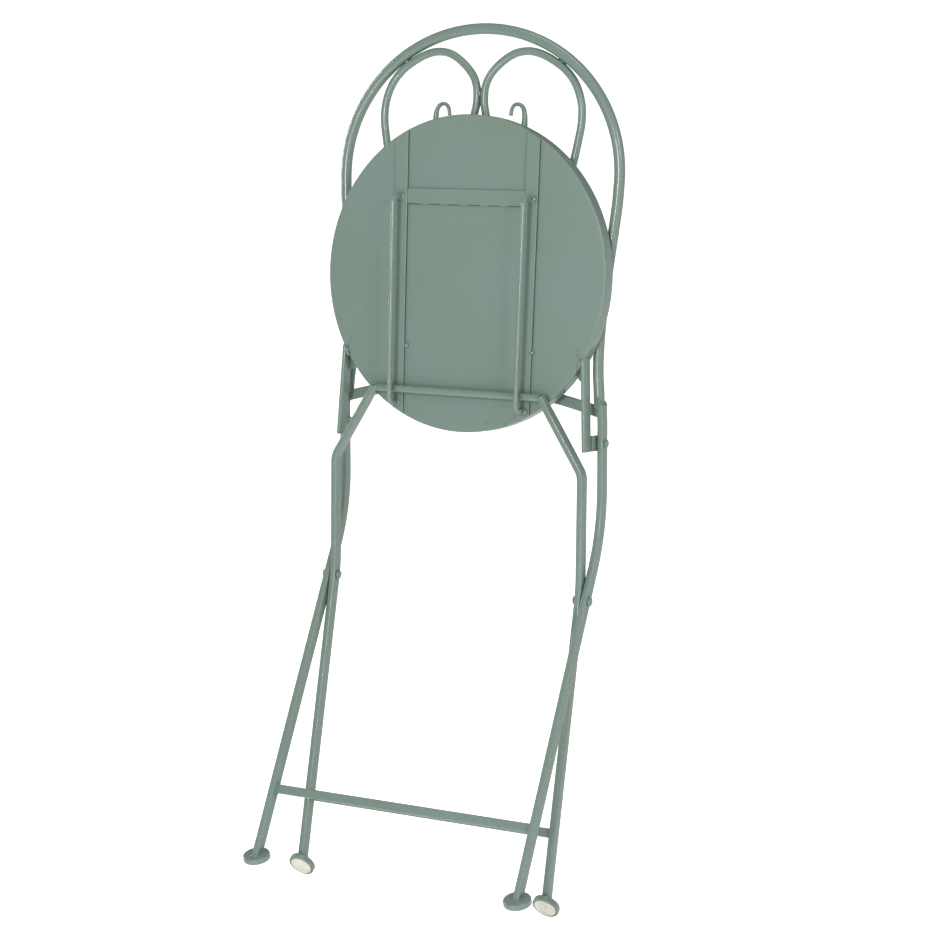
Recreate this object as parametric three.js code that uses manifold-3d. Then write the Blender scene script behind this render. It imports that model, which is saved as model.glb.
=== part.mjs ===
// Folding steel bistro chair, shown folded: a back hoop with two scrolls that runs down
// into the front legs, a pair of rear legs that cross them, and a round seat swung up
// against the back. Millimetres, +X to the right as seen from the front (the sitter's
// left), +Y to the back, +Z up. The back leans as it does when the chair is open.
// The origin is the middle of the footprint box. "right" in a mesh name is the +X side.
import * as THREE from 'three';
import { mergeVertices } from 'three/addons/utils/BufferGeometryUtils.js';
import Module from 'manifold-3d';

const wasm = await Module();
wasm.setup();

// ---- shared dimensions (mm, degrees) -------------------------------------------
// Pieces are laid out in a chair frame in which the back stands upright.
// A place given as a pair is [y, z] in that frame unless noted.
const RAD = Math.PI / 180;
const BACK_LEAN = 14.55;       // chair frame, leaning back from upright
const CHAIR_ORIGIN = [0, 44.666, 324.904];
const GAP = 0.3;               // clearance left at every welded or seated joint

const LEG_W = 8.2;             // leg tube, across the chair
const LEG_D = 13.6;            // leg tube, fore and aft
const LEG_CORNER_R = 2;
const FRONT_LEG_X = 179.2;     // leg centre planes
const REAR_LEG_X = 170.6;
const CROSS_PIVOT = [-41, 0];  // where front and rear legs cross
const SEAT_PIVOT = [0, 182.6];
const FRONT_LEAN = 27.7;       // front leg's lower part, from upright
const REAR_LEAN = 13.11;       // rear leg's lower part, from upright
const LEG_SWING = 69.74;       // rear legs, from folded to open
const BOLT_D = 6;
const BOLT_HOLE_D = 6.16;
const SLIDE_BAR = [-33.6, 236];

// ---- materials -----------------------------------------------------------------
const greenPaint = () => new THREE.MeshStandardMaterial({
  color: new THREE.Color(0.235, 0.305, 0.26),
  roughness: 0.42,
  metalness: 0.1,
});
const creamPlastic = () => new THREE.MeshStandardMaterial({
  color: new THREE.Color(0.72, 0.7, 0.6),
  roughness: 0.5,
  metalness: 0,
});

// ---- vectors and paths ---------------------------------------------------------
const point = (x, y, z) => new THREE.Vector3(x, y, z);
const direction = (from, to) => to.clone().sub(from).normalize();
const ALONG_X = point(1, 0, 0);
const ALONG_Y = point(0, 1, 0);

// A smooth path in the XZ plane through a table of x, z rows.
function splineXZ(rows, divisions) {
  const curve = new THREE.CatmullRomCurve3(rows.map(([x, z]) => point(x, 0, z)), false, 'centripetal');
  return curve.getSpacedPoints(divisions);
}

// Rounds each inner corner of a polyline with an arc of the given radius;
// an arc's segments turn by at most `step` degrees.
function filleted(corners, radii, step) {
  const path = [corners[0]];
  radii.forEach((radius, i) => {
    const corner = corners[i + 1];
    const back = direction(corner, corners[i]);
    const ahead = direction(corner, corners[i + 2]);
    const halfAngle = Math.acos(THREE.MathUtils.clamp(back.dot(ahead), -1, 1)) / 2;
    const setback = radius / Math.tan(halfAngle);
    const centre = corner.clone()
      .addScaledVector(back.clone().add(ahead).normalize(), radius / Math.sin(halfAngle));
    const startSpoke = corner.clone().addScaledVector(back, setback).sub(centre);
    const endSpoke = corner.clone().addScaledVector(ahead, setback).sub(centre);
    const turn = startSpoke.angleTo(endSpoke);
    const segments = Math.max(2, Math.ceil((Math.PI - 2 * halfAngle) / (step * RAD)));
    for (let k = 0; k <= segments; k++) {
      const t = k / segments;
      path.push(centre.clone()
        .addScaledVector(startSpoke, Math.sin((1 - t) * turn) / Math.sin(turn))
        .addScaledVector(endSpoke, Math.sin(t * turn) / Math.sin(turn)));
    }
  });
  path.push(corners.at(-1));
  return path;
}

// ---- outlines ------------------------------------------------------------------
function roundRect(width, depth, radius, steps = 3) {
  const outline = [];
  [[1, 1], [-1, 1], [-1, -1], [1, -1]].forEach(([signX, signY], quarter) => {
    for (let i = 0; i <= steps; i++) {
      const angle = 90 * (quarter + i / steps) * RAD;
      outline.push([
        signX * (width / 2 - radius) + radius * Math.cos(angle),
        signY * (depth / 2 - radius) + radius * Math.sin(angle),
      ]);
    }
  });
  return outline;
}
function circle(diameter, sides) {
  return Array.from({ length: sides }, (_, i) => {
    const angle = 2 * Math.PI * i / sides;
    return [diameter / 2 * Math.cos(angle), diameter / 2 * Math.sin(angle)];
  });
}

// ---- meshes and solids ---------------------------------------------------------
// Drops normals and texture coordinates, then merges coincident vertices.
function welded(geometry) {
  for (const name of ['normal', 'uv']) geometry.deleteAttribute(name);
  return mergeVertices(geometry, 1e-4);
}
function toSolid(geometry) {
  const mesh = welded(geometry.clone());
  return new wasm.Manifold(new wasm.Mesh({
    numProp: 3,
    vertProperties: new Float32Array(mesh.getAttribute('position').array),
    triVerts: new Uint32Array(mesh.index.array),
  }));
}
function indexedGeometry(positions, triangles) {
  const geometry = new THREE.BufferGeometry();
  geometry.setAttribute('position', new THREE.Float32BufferAttribute(positions, 3));
  geometry.setIndex(new THREE.Uint32BufferAttribute(triangles, 1));
  geometry.computeVertexNormals();
  return geometry;
}
function toGeometry(solid) {
  const mesh = solid.getMesh();
  return indexedGeometry(mesh.vertProperties, mesh.triVerts);
}
const cut = (body, ...tools) =>
  toGeometry(tools.reduce((solid, tool) => solid.subtract(toSolid(tool)), toSolid(body)));
const join = (first, second) => toGeometry(toSolid(first).add(toSolid(second)));
const common = (first, second) => toGeometry(toSolid(first).intersect(toSolid(second)));

// Reverses every triangle.
function flipped(geometry) {
  const index = Array.from(geometry.index.array);
  for (let i = 0; i < index.length; i += 3) {
    [index[i + 1], index[i + 2]] = [index[i + 2], index[i + 1]];
  }
  geometry.setIndex(index);
  geometry.computeVertexNormals();
  return geometry;
}
// Flips the triangles if the enclosed volume comes out negative.
function facingOut(geometry) {
  const position = geometry.getAttribute('position');
  const index = geometry.index.array;
  const vertex = (i) => new THREE.Vector3().fromBufferAttribute(position, index[i]);
  let volume = 0;
  for (let i = 0; i < index.length; i += 3) {
    volume += vertex(i).dot(vertex(i + 1).cross(vertex(i + 2)));
  }
  return volume < 0 ? flipped(geometry) : geometry;
}
const mirrored = (geometry) => flipped(geometry.clone().scale(-1, 1, 1));

// A closed bar: a convex outline carried along a path. `across` is the direction the
// outline's first axis keeps close to, or a function giving it from the local chord.
// `scale` sizes the outline by the fraction of the path's points passed.
function sweep(outline, path, across, scale = () => 1) {
  const sides = outline.length;
  const last = path.length - 1;
  const positions = [];
  const triangles = [];
  path.forEach((centre, i) => {
    const before = path[Math.max(i - 1, 0)];
    const after = path[Math.min(i + 1, last)];
    const chord = direction(before, after);
    const tangent = i === 0 || i === last
      ? chord
      : direction(before, centre).add(direction(centre, after)).normalize();
    const reference = across.isVector3 ? across : across(chord);
    const secondAxis = new THREE.Vector3().crossVectors(tangent, reference).normalize();
    const firstAxis = new THREE.Vector3().crossVectors(secondAxis, tangent).normalize();
    const size = scale(i / last);
    for (const [first, second] of outline) {
      const corner = centre.clone()
        .addScaledVector(firstAxis, first * size)
        .addScaledVector(secondAxis, second * size);
      positions.push(corner.x, corner.y, corner.z);
    }
  });
  for (let i = 0; i < last; i++) {
    for (let j = 0; j < sides; j++) {
      const here = i * sides + j;
      const beside = i * sides + (j + 1) % sides;
      triangles.push(here, beside, beside + sides, here, beside + sides, here + sides);
    }
  }
  const lastRing = last * sides;
  for (let j = 1; j < sides - 1; j++) {
    triangles.push(0, j + 1, j);
    triangles.push(lastRing, lastRing + j, lastRing + j + 1);
  }
  return facingOut(indexedGeometry(positions, triangles));
}

function cylinderX(diameter, x0, x1, [y, z], sides = 32) {
  return new THREE.CylinderGeometry(diameter / 2, diameter / 2, x1 - x0, sides)
    .rotateZ(Math.PI / 2)
    .translate((x0 + x1) / 2, y, z);
}
const discZ = (radius, height) =>
  new THREE.CylinderGeometry(radius, radius, height, 96).rotateX(Math.PI / 2);
const boltHole = (x, place) => cylinderX(BOLT_HOLE_D, x - 10, x + 10, place);

// Profile rows are radius, height along the axis.
const lathe = (profile, sides) =>
  new THREE.LatheGeometry(profile.map((row) => new THREE.Vector2(...row)), sides);
const turnedZ = (profile, sides) =>
  toGeometry(toSolid(facingOut(welded(lathe(profile, sides).rotateX(Math.PI / 2)))));

// ---- scene graph ---------------------------------------------------------------
const SEAT_CENTRE = [-15.5, 377.1]; // centre of the seat's underside
const SEAT_TILT = 0.067;            // radians, leaning back from upright

const chair = new THREE.Group();
chair.rotation.x = -BACK_LEAN * RAD;
chair.position.set(...CHAIR_ORIGIN);
const back = new THREE.Group();
const legs = new THREE.Group();
const seat = new THREE.Group(); // seat frame: x across, y up the seat, z out of its underside
chair.add(back, legs, seat);
seat.position.set(0, ...SEAT_CENTRE);
seat.rotation.x = Math.PI / 2 - SEAT_TILT;

function add(parent, name, geometry, material = greenPaint()) {
  const mesh = new THREE.Mesh(geometry, material);
  mesh.name = name;
  parent.add(mesh);
  return mesh;
}
function addPair(parent, name, geometry) {
  add(parent, `${name}_right`, geometry);
  add(parent, `${name}_left`, mirrored(geometry));
}

// ---- back hoop and scrolls -----------------------------------------------------
const HOOP_D = 13.2;
const HOOP_HALF_WIDTH = 188.4;
const HOOP_ARCH_Z = 495;       // centre of the half ellipse over the top
const HOOP_ARCH_RISE = 172.4;
const HOOP_ARCH_SEGMENTS = 44;
// right side of the hoop, from the leg up: x, z
const HOOP_SIDE = [
  [173.9, 231], [172.9, 246], [171.3, 262], [170.6, 284], [171.4, 315],
  [174.6, 352], [179.3, 396], [184.6, 440], [187.3, 466], [HOOP_HALF_WIDTH, 490],
];
// the hoop's plane leans back a little more than the upper legs
const hoopY = (z) => 2 + 0.08 * (z - 236);

function addHoop() {
  const side = splineXZ(HOOP_SIDE, 26);
  const path = side.slice();
  for (let i = 1; i < HOOP_ARCH_SEGMENTS; i++) {
    const angle = Math.PI * i / HOOP_ARCH_SEGMENTS;
    path.push(point(
      HOOP_HALF_WIDTH * Math.cos(angle), 0, HOOP_ARCH_Z + HOOP_ARCH_RISE * Math.sin(angle)));
  }
  for (const { x, z } of side.toReversed()) path.push(point(-x, 0, z));
  for (const place of path) place.y = hoopY(place.z);
  add(back, 'back_hoop', sweep(circle(HOOP_D, 18), path, ALONG_Y));
}

const SCROLL_D = 9.6;
const SCROLL_TIP_D = 4.6;
const SCROLL_CURL_FORWARD = 3.2;      // inner curl, in front of the hoop's plane
const SCROLL_FORWARD_SPAN = [0.56, 0.72]; // part of the path over which it moves forward
const SCROLL_TAPER_START = 0.91;      // part of the path, as is the taper's length
const SCROLL_TAPER_LENGTH = 0.065;
// right scroll, from its lower end to the hooked tip: x, z
const SCROLL_LINE = [
  [6.6, 252], [16, 287], [38, 336], [66, 382], [92, 424], [112, 463], [124, 499],
  [131.5, 532], [135.8, 560], [133.6, 583], [125, 603.5], [111.5, 618.8], [95.8, 629.3],
  [80.5, 636.6], [64, 640.4], [45.5, 638.2], [27, 627.6], [11, 611], [5.7, 597],
  [5, 587], [5.2, 579], [7.2, 569], [10.6, 555], [14.8, 535], [23.2, 517],
  [38, 508.5], [52.5, 516], [59.4, 532], [60.9, 550], [60.8, 566.5], [58.8, 573.4],
  [55.4, 577], [51, 578.3], [46.8, 577.2], [43.9, 573.8], [42.7, 569.6], [42.2, 564.4],
];
// the lower end stays behind this line, and so behind the hoop's plane
const scrollFrontLimit = (z) => 4.8 + 0.03 * (z - 250);

function scrollScale(t) {
  const taper = THREE.MathUtils.clamp((t - SCROLL_TAPER_START) / SCROLL_TAPER_LENGTH, 0, 1);
  return 1 - (1 - SCROLL_TIP_D / SCROLL_D) * taper;
}
function addScrolls() {
  const path = splineXZ(SCROLL_LINE, 124);
  path.forEach((place, i) => {
    const curl = THREE.MathUtils.smoothstep(i / (path.length - 1), ...SCROLL_FORWARD_SPAN);
    place.y = Math.max(
      hoopY(place.z) - SCROLL_CURL_FORWARD * curl, scrollFrontLimit(place.z));
  });
  addPair(back, 'scroll', sweep(circle(SCROLL_D, 12), path, ALONG_Y, scrollScale));
}

// ---- feet: a steel cup with a plastic glide in its recess ----------------------
const CUP_D = 33;
const CUP_LIFT = 1;            // cup's rim above the glide's resting face
const CUP_TOP = CUP_LIFT + 7;
const RECESS_D = 27.8;
const RECESS_TOP = CUP_LIFT + 3.5;
const GLIDE_D = RECESS_D - 2 * GAP;
const GLIDE_H = RECESS_TOP - GAP;
const FOOT_MID = 4;            // middle of the foot above its resting face
const CUP_PROFILE = [
  [0, RECESS_TOP],
  [RECESS_D / 2, RECESS_TOP],
  [RECESS_D / 2, CUP_LIFT],
  [CUP_D / 2 - 0.4, CUP_LIFT],
  [CUP_D / 2, CUP_LIFT + 0.5],
  [CUP_D / 2, CUP_TOP - 1.4],
  [CUP_D / 2 - 0.5, CUP_TOP - 0.4],
  [CUP_D / 2 - 1.6, CUP_TOP],
  [0, CUP_TOP],
];
const GLIDE_PROFILE = [
  [0, 0],
  [GLIDE_D / 2 - 0.9, 0],
  [GLIDE_D / 2, 0.8],
  [GLIDE_D / 2, GLIDE_H],
  [0, GLIDE_H],
];

// Place on a leg's lower line, at a distance down it from the cross pivot.
const alongLeg = (lean, distance) => [
  CROSS_PIVOT[0] - Math.sin(lean * RAD) * distance,
  CROSS_PIVOT[1] - Math.cos(lean * RAD) * distance,
];
// A foot's leg plane, tilt, and the centre of its resting face.
function footPlace(x, lean, distance, tilt) {
  const [y, z] = alongLeg(lean, distance);
  const rest = [y + FOOT_MID * Math.sin(tilt * RAD), z - FOOT_MID * Math.cos(tilt * RAD)];
  return { x, tilt, rest };
}
const FRONT_FOOT_DISTANCE = 361; // down the leg to the middle of the foot
const REAR_FOOT_DISTANCE = 360;
// the feet lie flat on the floor when the chair is open
const frontFoot = footPlace(FRONT_LEG_X, FRONT_LEAN, FRONT_FOOT_DISTANCE, BACK_LEAN);
const rearFoot = footPlace(REAR_LEG_X, REAR_LEAN, REAR_FOOT_DISTANCE, BACK_LEAN - LEG_SWING);

// Block that trims a leg just above its cup.
const footTrim = ({ x, tilt, rest }) => new THREE.BoxGeometry(60, 80, 60)
  .translate(0, 0, CUP_TOP + GAP - 30)
  .rotateX(tilt * RAD)
  .translate(x, ...rest);

function addFeet(parent, name, { x, tilt, rest }) {
  const parts = [['foot_cup', CUP_PROFILE, greenPaint], ['glide', GLIDE_PROFILE, creamPlastic]];
  for (const [side, sign] of [['right', 1], ['left', -1]]) {
    for (const [part, profile, material] of parts) {
      const mesh = add(parent, `${name}_${part}_${side}`, turnedZ(profile, 32), material());
      mesh.position.set(sign * x, ...rest);
      mesh.rotation.x = tilt * RAD;
    }
  }
}

// ---- legs ----------------------------------------------------------------------
const FRONT_BEND_Z = 79;       // where the front leg's two straight parts would meet
const FRONT_TOP_BEND_Z = 205;
const FRONT_TOP = [FRONT_LEG_X - 1.2, 0.6, 230]; // x, y, z
const FRONT_BEND_RADII = [200, 60];
const FRONT_SPARE = 8;         // leg below the middle of the foot, before trimming

function frontLegBar(extra = 0) {
  const path = filleted([
    point(FRONT_LEG_X, ...alongLeg(FRONT_LEAN, FRONT_FOOT_DISTANCE + FRONT_SPARE)),
    point(FRONT_LEG_X, 0, FRONT_BEND_Z),
    point(FRONT_LEG_X, 0, FRONT_TOP_BEND_Z),
    point(...FRONT_TOP),
  ], FRONT_BEND_RADII, 3.2);
  const outline = roundRect(LEG_W + 2 * extra, LEG_D + 2 * extra, LEG_CORNER_R + extra);
  return sweep(outline, path, ALONG_X);
}
function addFrontLegs() {
  addPair(back, 'front_leg', cut(frontLegBar(), footTrim(frontFoot),
    boltHole(FRONT_LEG_X, CROSS_PIVOT), boltHole(FRONT_LEG_X, SEAT_PIVOT)));
}

const REAR_LOWER_BEND = [-38.4, 11];
const REAR_CRANK = [-35.2, 149]; // above it the leg slants in to the slide bar
const REAR_TOP = [114.6, SLIDE_BAR[0], 237.5]; // x, y, z
const REAR_BEND_RADII = [160, 26];
const REAR_SPARE = 10;

function addRearLegs() {
  const path = filleted([
    point(REAR_LEG_X, ...alongLeg(REAR_LEAN, REAR_FOOT_DISTANCE + REAR_SPARE)),
    point(REAR_LEG_X, ...REAR_LOWER_BEND),
    point(REAR_LEG_X, ...REAR_CRANK),
    point(...REAR_TOP),
  ], REAR_BEND_RADII, 5);
  // the outline's first axis follows the tube round the crank
  const across = (chord) => point(chord.z, 0, -chord.x);
  const bar = sweep(roundRect(LEG_W, LEG_D, LEG_CORNER_R), path, across);
  addPair(legs, 'rear_leg', cut(bar, footTrim(rearFoot), boltHole(REAR_LEG_X, CROSS_PIVOT)));
}

// ---- bars between the legs -----------------------------------------------------
const FLAT_CORNER_R = 1.2;     // crossbar and stretchers
const CROSSBAR_H = 13;
const CROSSBAR_T = 6;
const CROSSBAR_Y = 3;
const CROSSBAR_CROWN_Z = 242.8; // top of the arched centreline
const CROSSBAR_CROWN_R = 631;
const CROSSBAR_SEGMENTS = 24;

function addCrossbar() {
  // reaches into the legs, then is trimmed clear of them
  const half = FRONT_LEG_X - LEG_W / 2 + 0.5;
  const path = [];
  for (let i = 0; i <= CROSSBAR_SEGMENTS; i++) {
    const x = -half + 2 * half * i / CROSSBAR_SEGMENTS;
    path.push(point(x, CROSSBAR_Y, CROSSBAR_CROWN_Z - x * x / (2 * CROSSBAR_CROWN_R)));
  }
  const bar = sweep(roundRect(CROSSBAR_T, CROSSBAR_H, FLAT_CORNER_R, 2), path, ALONG_Y);
  const clearance = frontLegBar(GAP);
  add(back, 'back_crossbar', cut(bar, clearance, mirrored(clearance)));
}

const STRETCHER_H = 11;
const STRETCHER_T = 6;
const FRONT_STRETCHER_DISTANCE = 276; // down the leg from the cross pivot
const REAR_STRETCHER_DISTANCE = 275.5;

function stretcher(legX, lean, distance) {
  const half = legX - LEG_W / 2 - GAP;
  const outline = roundRect(STRETCHER_T, STRETCHER_H, FLAT_CORNER_R, 2);
  return sweep(outline, [point(-half, 0, 0), point(half, 0, 0)], ALONG_Y)
    .rotateX(-lean * RAD)
    .translate(0, ...alongLeg(lean, distance));
}

const SLIDE_BAR_D = 8;
const SLIDE_BAR_HALF = 109.6;

// joins the tops of the rear legs and runs in the seat's guide rods
function addSlideBar() {
  add(chair, 'slide_bar',
    cylinderX(SLIDE_BAR_D, -SLIDE_BAR_HALF, SLIDE_BAR_HALF, SLIDE_BAR, 24));
}

// ---- seat ----------------------------------------------------------------------
const SEAT_R = 190;
const SEAT_T = 21;             // rim depth
const SHEET = 1.5;             // sheet thickness
const RIM_INNER_R = SEAT_R - SHEET;
// sitting sheet with its edge turned down all round
const PAN_PROFILE = [
  [0, -SEAT_T + SHEET],
  [SEAT_R - 3.5, -SEAT_T + SHEET],
  [RIM_INNER_R - 0.6, -SEAT_T + 2.1],
  [RIM_INNER_R, -SEAT_T + 3.5],
  [RIM_INNER_R, -SHEET - GAP],
  [SEAT_R, -SHEET - GAP],
  [SEAT_R, -SEAT_T + 3],
  [SEAT_R - 0.9, -SEAT_T + 0.9],
  [SEAT_R - 3, -SEAT_T],
  [0, -SEAT_T],
];
const UNDERPLATE_PROFILE = [[0, -SHEET], [SEAT_R, -SHEET], [SEAT_R, -0.5], [SEAT_R - 0.5, 0], [0, 0]];

function addSeatSheets() {
  add(seat, 'seat_pan', turnedZ(PAN_PROFILE, 96));
  add(seat, 'seat_underplate', turnedZ(UNDERPLATE_PROFILE, 96));
}

const STRAP_W = 17.2;
const STRAP_T = 2.5;
const STRAP_SPLAY = 0.009;     // outward slope, going up the seat
const STRAP_ROUGH_LENGTH = 370;
const strapX = (y) => 88.6 + STRAP_SPLAY * y; // strap's centreline
const CROSS_STRAP_TOP = 100.9;
const CROSS_STRAP_H = 18.4;

function addStraps() {
  const strap = new THREE.BoxGeometry(STRAP_W, STRAP_ROUGH_LENGTH, STRAP_T)
    .rotateZ(-Math.atan(STRAP_SPLAY))
    .translate(strapX(0), 0, GAP + STRAP_T / 2);
  // the ends follow the seat's round edge
  addPair(seat, 'seat_strap', common(strap, discZ(SEAT_R - 1, 40)));
}
// butted between the two straps
function addCrossStrap() {
  const top = CROSS_STRAP_TOP;
  const bottom = top - CROSS_STRAP_H;
  const end = (y) => strapX(y) - STRAP_W / 2 - GAP;
  const corners = [[-end(bottom), bottom], [end(bottom), bottom], [end(top), top], [-end(top), top]];
  const shape = new THREE.Shape(corners.map((corner) => new THREE.Vector2(...corner)));
  const strap = new THREE.ExtrudeGeometry(shape, { depth: STRAP_T, bevelEnabled: false })
    .translate(0, 0, GAP);
  add(seat, 'seat_cross_strap', toGeometry(toSolid(strap)));
}

const ROD_D = 6;
const ROD_H = 20;              // rod's centreline above the underside
const ROD_TOP = 90.7;
const ROD_BOTTOM = -158.8;
const ROD_BEND_R = 8;

// a staple of round rod standing on each strap
function addGuideRods() {
  const foot = 2 * GAP + STRAP_T;
  const path = filleted([
    point(strapX(ROD_TOP), ROD_TOP, foot),
    point(strapX(ROD_TOP), ROD_TOP, ROD_H),
    point(strapX(ROD_BOTTOM), ROD_BOTTOM, ROD_H),
    point(strapX(ROD_BOTTOM), ROD_BOTTOM, foot),
  ], [ROD_BEND_R, ROD_BEND_R], 15);
  addPair(seat, 'guide_rod', sweep(circle(ROD_D, 12), path, ALONG_X));
}

const BRACKET_W = 5.2;
const BRACKET_BACK = -14;      // seat z of the tube's two faces
const BRACKET_FRONT = 3;
const BRACKET_BOTTOM = [170, -203]; // seat x, y
const BRACKET_TOP = [164.3, -91.5];

// rounded tube from the seat's rim down past the pivot
function addBrackets() {
  const middle = (BRACKET_BACK + BRACKET_FRONT) / 2;
  const outline = roundRect(BRACKET_W, BRACKET_FRONT - BRACKET_BACK, 2);
  const tube = sweep(
    outline, [point(...BRACKET_BOTTOM, middle), point(...BRACKET_TOP, middle)], ALONG_X);
  addPair(seat, 'seat_bracket', cut(tube, discZ(SEAT_R + GAP, 60)));
}

const LUG_INNER_X = 170.4;
const LUG_OUTER_X = 174.7;
const LUG_H = 18.5;

// plate behind each bracket, rounded about the seat pivot
function addPivotLugs() {
  // the pivot in the seat frame
  const fromCentreY = SEAT_PIVOT[0] - SEAT_CENTRE[0];
  const fromCentreZ = SEAT_PIVOT[1] - SEAT_CENTRE[1];
  const pivotY = fromCentreY * Math.sin(SEAT_TILT) + fromCentreZ * Math.cos(SEAT_TILT);
  const pivotZ = -fromCentreY * Math.cos(SEAT_TILT) + fromCentreZ * Math.sin(SEAT_TILT);

  // outline axes: seat z, then seat y measured from the pivot
  const half = LUG_H / 2;
  const front = BRACKET_BACK - GAP;
  const shape = new THREE.Shape();
  shape.moveTo(front, -half);
  shape.lineTo(front, half);
  shape.lineTo(pivotZ, half);
  shape.absarc(pivotZ, 0, half, Math.PI / 2, 3 * Math.PI / 2, false);
  shape.lineTo(front, -half);
  const plate = new THREE.ExtrudeGeometry(shape, {
    depth: LUG_OUTER_X - LUG_INNER_X,
    bevelEnabled: false,
    curveSegments: 12,
  });
  // turns outline and depth axes into the seat's x, y, z
  plate.applyMatrix4(new THREE.Matrix4().set(
    0, 0, 1, LUG_INNER_X,
    0, 1, 0, pivotY,
    1, 0, 0, 0,
    0, 0, 0, 1,
  ));
  const hole = boltHole((LUG_INNER_X + LUG_OUTER_X) / 2, [pivotY, pivotZ]);
  addPair(seat, 'pivot_lug', cut(facingOut(welded(plate)), hole));
}

// ---- fasteners -----------------------------------------------------------------
const HEAD_H = 2.5;
const NUT_H = 2.6;
const NUT_HOLE_D = 6.12;
const HEX_CHAMFER = 0.6;
const SHANK_OVERLAP = 0.5;     // shank inside the head
const SHANK_PROUD = 0.7;       // shank past the nut

// Hexagonal prism along X with its corners chamfered at both ends.
function hexX(acrossFlats, x0, x1, place) {
  const corner = acrossFlats / Math.sqrt(3);
  const hex = cylinderX(2 * corner, x0, x1, place, 6);
  const chamfer = lathe([
    [0, x0],
    [corner - HEX_CHAMFER * 0.9, x0],
    [corner + 0.1, x0 + HEX_CHAMFER],
    [corner + 0.1, x1 - HEX_CHAMFER],
    [corner - HEX_CHAMFER * 0.9, x1],
    [0, x1],
  ], 24).rotateZ(-Math.PI / 2).translate(0, ...place);
  return common(hex, facingOut(welded(chamfer)));
}
// Bolt with its head outside the front leg, and a nut against `innerFace`.
function addFasteners(name, place, acrossFlats, innerFace) {
  const headInner = FRONT_LEG_X + LEG_W / 2 + GAP;
  const nutOuter = innerFace - GAP;
  const nutInner = nutOuter - NUT_H;
  const head = hexX(acrossFlats, headInner, headInner + HEAD_H, place);
  const shank = cylinderX(BOLT_D, nutInner - SHANK_PROUD, headInner + SHANK_OVERLAP, place, 24);
  addPair(back, `${name}_bolt`, join(head, shank));
  const nut = hexX(acrossFlats - 0.5, nutInner, nutOuter, place);
  const nutHole = cylinderX(NUT_HOLE_D, nutInner - 1, nutOuter + 1, place, 24);
  addPair(back, `${name}_nut`, cut(nut, nutHole));
}

// ---- assembly ------------------------------------------------------------------
addHoop();
addScrolls();
addFrontLegs();
addCrossbar();
add(back, 'front_stretcher', stretcher(FRONT_LEG_X, FRONT_LEAN, FRONT_STRETCHER_DISTANCE));
addFeet(back, 'front', frontFoot);

addRearLegs();
add(legs, 'rear_stretcher', stretcher(REAR_LEG_X, REAR_LEAN, REAR_STRETCHER_DISTANCE));
addFeet(legs, 'rear', rearFoot);
addSlideBar();

addSeatSheets();
addStraps();
addCrossStrap();
addGuideRods();
addBrackets();
addPivotLugs();

addFasteners('cross_pivot', CROSS_PIVOT, 10, REAR_LEG_X - LEG_W / 2);
addFasteners('seat_pivot', SEAT_PIVOT, 9, LUG_INNER_X);

export default chair;
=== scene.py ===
"""A painted folding chair, folded: the seat stands between the legs, its underside to the front.

The chair is drawn in millimetres in the frame of its upright back: x across (+x is the right
side), y to the back, z up from the cross pivot. It is leaned back and moved to its place in
the scene, in metres, as the meshes are made. Angles are in degrees unless said otherwise.
"""

import math
import bpy
import bmesh
import numpy as np
from mathutils import Vector, Matrix, noise


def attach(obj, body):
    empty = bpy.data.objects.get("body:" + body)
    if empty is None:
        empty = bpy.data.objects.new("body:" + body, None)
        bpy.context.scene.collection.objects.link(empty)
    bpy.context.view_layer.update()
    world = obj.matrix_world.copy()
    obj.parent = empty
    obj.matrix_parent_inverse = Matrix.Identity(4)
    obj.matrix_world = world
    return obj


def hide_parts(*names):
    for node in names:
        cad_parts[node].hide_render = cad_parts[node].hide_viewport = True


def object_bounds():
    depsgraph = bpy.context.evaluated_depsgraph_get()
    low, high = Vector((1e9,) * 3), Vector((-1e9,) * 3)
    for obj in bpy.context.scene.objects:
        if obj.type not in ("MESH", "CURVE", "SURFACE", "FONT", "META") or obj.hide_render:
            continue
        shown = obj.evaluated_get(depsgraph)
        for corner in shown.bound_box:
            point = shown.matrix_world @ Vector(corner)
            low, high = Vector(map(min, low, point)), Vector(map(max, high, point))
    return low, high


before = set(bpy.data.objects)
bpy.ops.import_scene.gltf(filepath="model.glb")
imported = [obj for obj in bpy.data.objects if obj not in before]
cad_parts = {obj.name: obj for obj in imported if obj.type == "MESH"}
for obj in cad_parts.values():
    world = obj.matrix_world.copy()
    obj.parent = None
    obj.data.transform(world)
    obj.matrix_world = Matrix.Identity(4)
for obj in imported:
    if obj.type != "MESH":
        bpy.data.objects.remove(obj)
CAD_BOX = [[float(c) for c in corner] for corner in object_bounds()]

# ---------------------------------------------------------------------------
# driving dimensions
# ---------------------------------------------------------------------------
BACK_LEAN = 14.55                       # of the back, from upright
ORIGIN_Y, ORIGIN_Z = 44.666, 324.904    # the drawing's origin in the scene
PIVOT, SEAT_PIVOT = (-41.0, 0.0), (0.0, 182.6)  # (y, z)

LEG_W, LEG_D, LEG_R = 8.2, 13.6, 2.0    # leg tube: across, fore and aft, corner radius
FRONT_X, REAR_X = 179.2, 170.6          # centre lines of the legs
FRONT_INNER, REAR_INNER = FRONT_X - LEG_W / 2, REAR_X - LEG_W / 2
LEG_OPEN = 69.74                        # turn of the rear feet against the front feet
LEG_CUT_X, LEG_CUT_Z = FRONT_X - 1.3, 233.0     # slanted top of the front leg
HOOP_D, SCROLL_D, SCROLL_TIP_D = 13.2, 9.6, 4.6
BAR_Y, BAR_Z = -33.6, 236.0             # slide bar
CUP_R, CUP_TOP = 16.5, 8.0

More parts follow.
